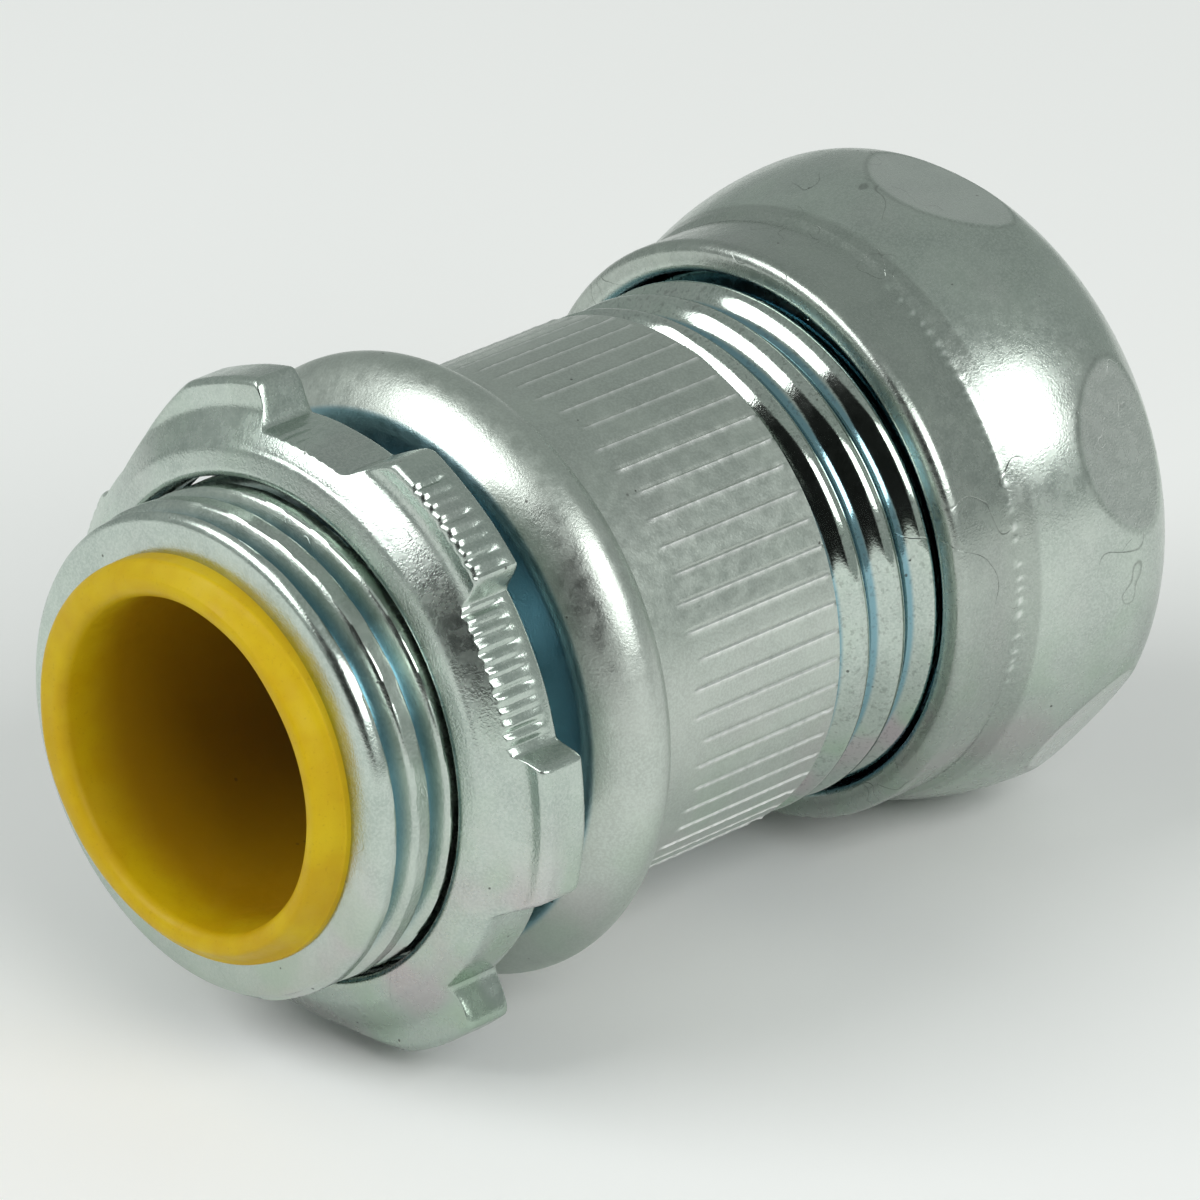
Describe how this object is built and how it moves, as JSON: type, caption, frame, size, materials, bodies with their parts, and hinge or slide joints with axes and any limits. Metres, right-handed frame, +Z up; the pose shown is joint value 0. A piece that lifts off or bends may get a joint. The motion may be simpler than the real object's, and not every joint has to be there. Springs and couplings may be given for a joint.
{
  "type": "conduit compression connector",
  "caption": "Steel compression connector for thin-wall conduit: threaded hub with insulated throat, locknut, rolled shoulder, knurled barrel and domed gland nut over a split ring.",
  "frame": {"origin": "on the common axis, in the plane of the shoulder face that seats on the box wall", "axes": "+X along the axis from the threaded hub towards the gland nut, +Z up with the axis level, +Y completes a right-handed frame"},
  "size_m": [0.0452, 0.029, 0.0284],
  "materials": {
    "body_zinc": "bright zinc plate with a faint blue-green cast",
    "insulator_plastic": "satin yellow nylon",
    "locknut_zinc": "zinc plate on stamped steel",
    "ring_steel": "zinc plate, plain",
    "gland_nut_zinc": "bright zinc plate with faint rainbow passivation"
  },
  "bodies": {
    "root": {"connector_body": "body_zinc", "throat_insulator": "insulator_plastic"},
    "locknut": {"locknut": "locknut_zinc"},
    "compression_ring": {"compression_ring": "ring_steel"},
    "gland_nut": {"gland_nut": "gland_nut_zinc"}
  },
  "joints": [
    {"name": "locknut_travel", "type": "slide", "parent": "root", "child": "locknut", "axis": [1, 0, 0], "range_m": [-0.009, 0.0029]},
    {"name": "ring_travel", "type": "slide", "parent": "root", "child": "compression_ring", "axis": [1, 0, 0], "range_m": [-0.0008, 0.0075]},
    {"name": "nut_turn", "type": "hinge", "parent": "compression_ring", "child": "gland_nut", "pos_m": [0, 0, 0], "axis": [1, 0, 0], "range_deg": [-136, 1275]}
  ],
  "couplings": [
    {"joint": "ring_travel", "follows": "nut_turn", "m_per_rad": 0.00033693}
  ]
}
